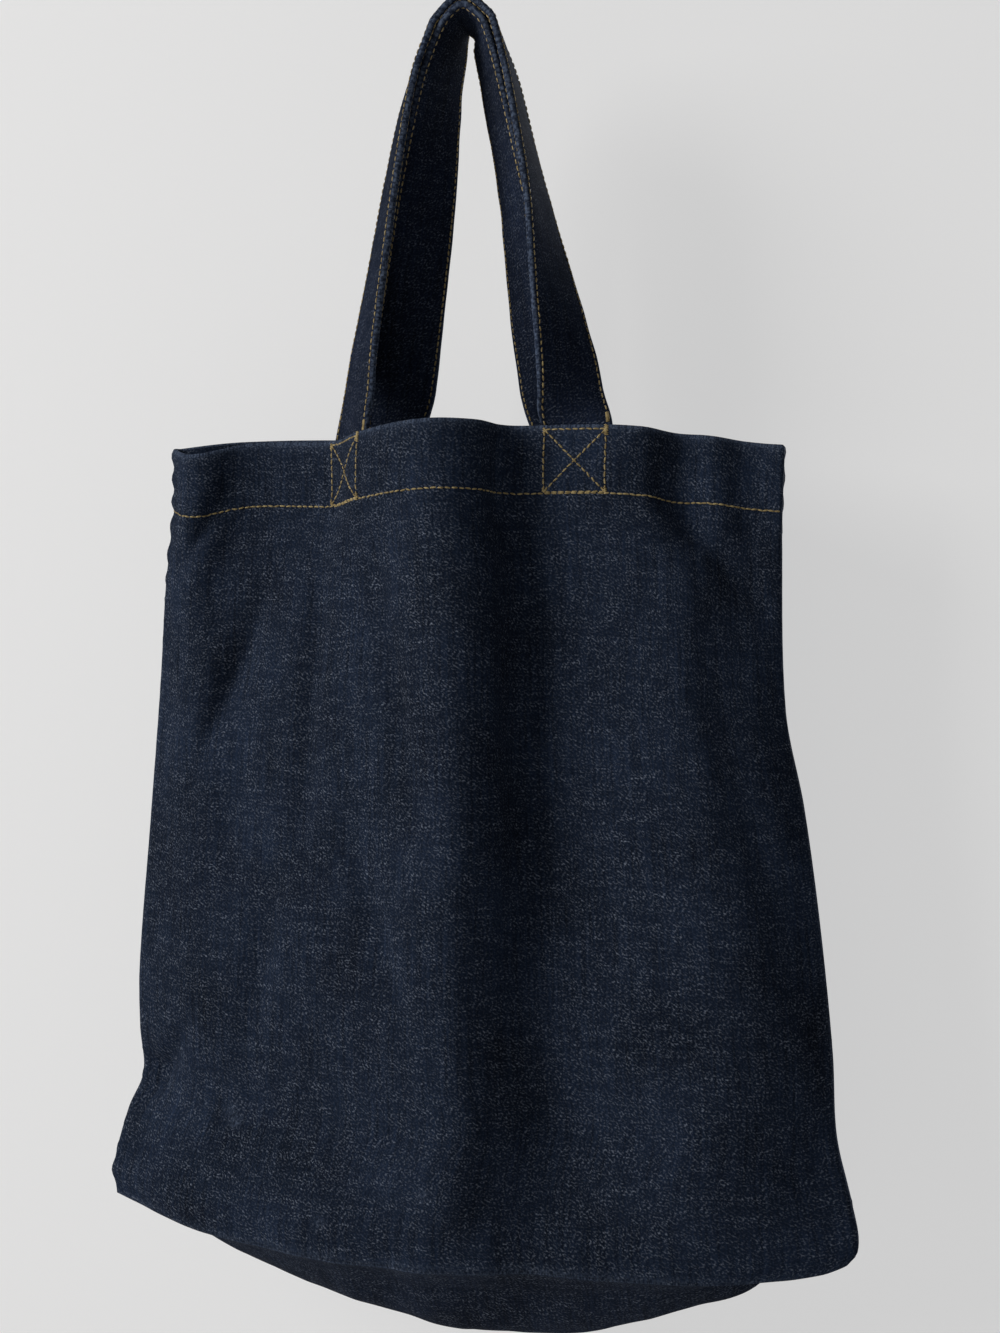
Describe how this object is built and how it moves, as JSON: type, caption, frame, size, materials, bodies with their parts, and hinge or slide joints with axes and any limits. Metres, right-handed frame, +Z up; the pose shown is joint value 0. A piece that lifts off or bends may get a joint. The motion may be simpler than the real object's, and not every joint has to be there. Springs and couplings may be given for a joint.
{
  "type": "tote bag",
  "caption": "Empty denim shopping tote hanging in soft folds from its flat shoulder handles, with a folded bottom gusset and gold topstitching.",
  "frame": {"origin": "the point on a hook or peg that carries the bag, at the underside of the inner handle's top", "axes": "+Z up, +X to the right along the bag's width, -Y to the front, where the outer handle is"},
  "size_m": [0.3746, 0.0932, 0.6511],
  "materials": {
    "denim": "raw indigo twill",
    "strap_denim": "raw indigo twill, folded",
    "overlocked_edge": "overlocked raw edge",
    "thread": "mustard topstitching thread"
  },
  "bodies": {
    "bag": {"front_panel": "denim", "back_panel": "denim", "bottom_gusset": "denim", "left_side_seam": "overlocked_edge", "right_side_seam": "overlocked_edge", "front_handle_ends": "strap_denim", "back_handle_ends": "strap_denim", "front_hem_stitching": "thread", "back_hem_stitching": "thread", "front_box_stitching": "thread", "back_box_stitching": "thread"},
    "front_handle": {"front_handle": "strap_denim", "front_handle_stitching": "thread"},
    "back_handle": {"back_handle": "strap_denim", "back_handle_stitching": "thread"}
  },
  "joints": [
    {"name": "front_handle_fold", "type": "hinge", "parent": "bag", "child": "front_handle", "pos_m": [0, -0.0255, -0.194], "axis": [1, 0, 0], "range_deg": [0, 140]},
    {"name": "back_handle_fold", "type": "hinge", "parent": "bag", "child": "back_handle", "pos_m": [0, 0.036, -0.194], "axis": [-1, 0, 0], "range_deg": [0, 140]}
  ]
}
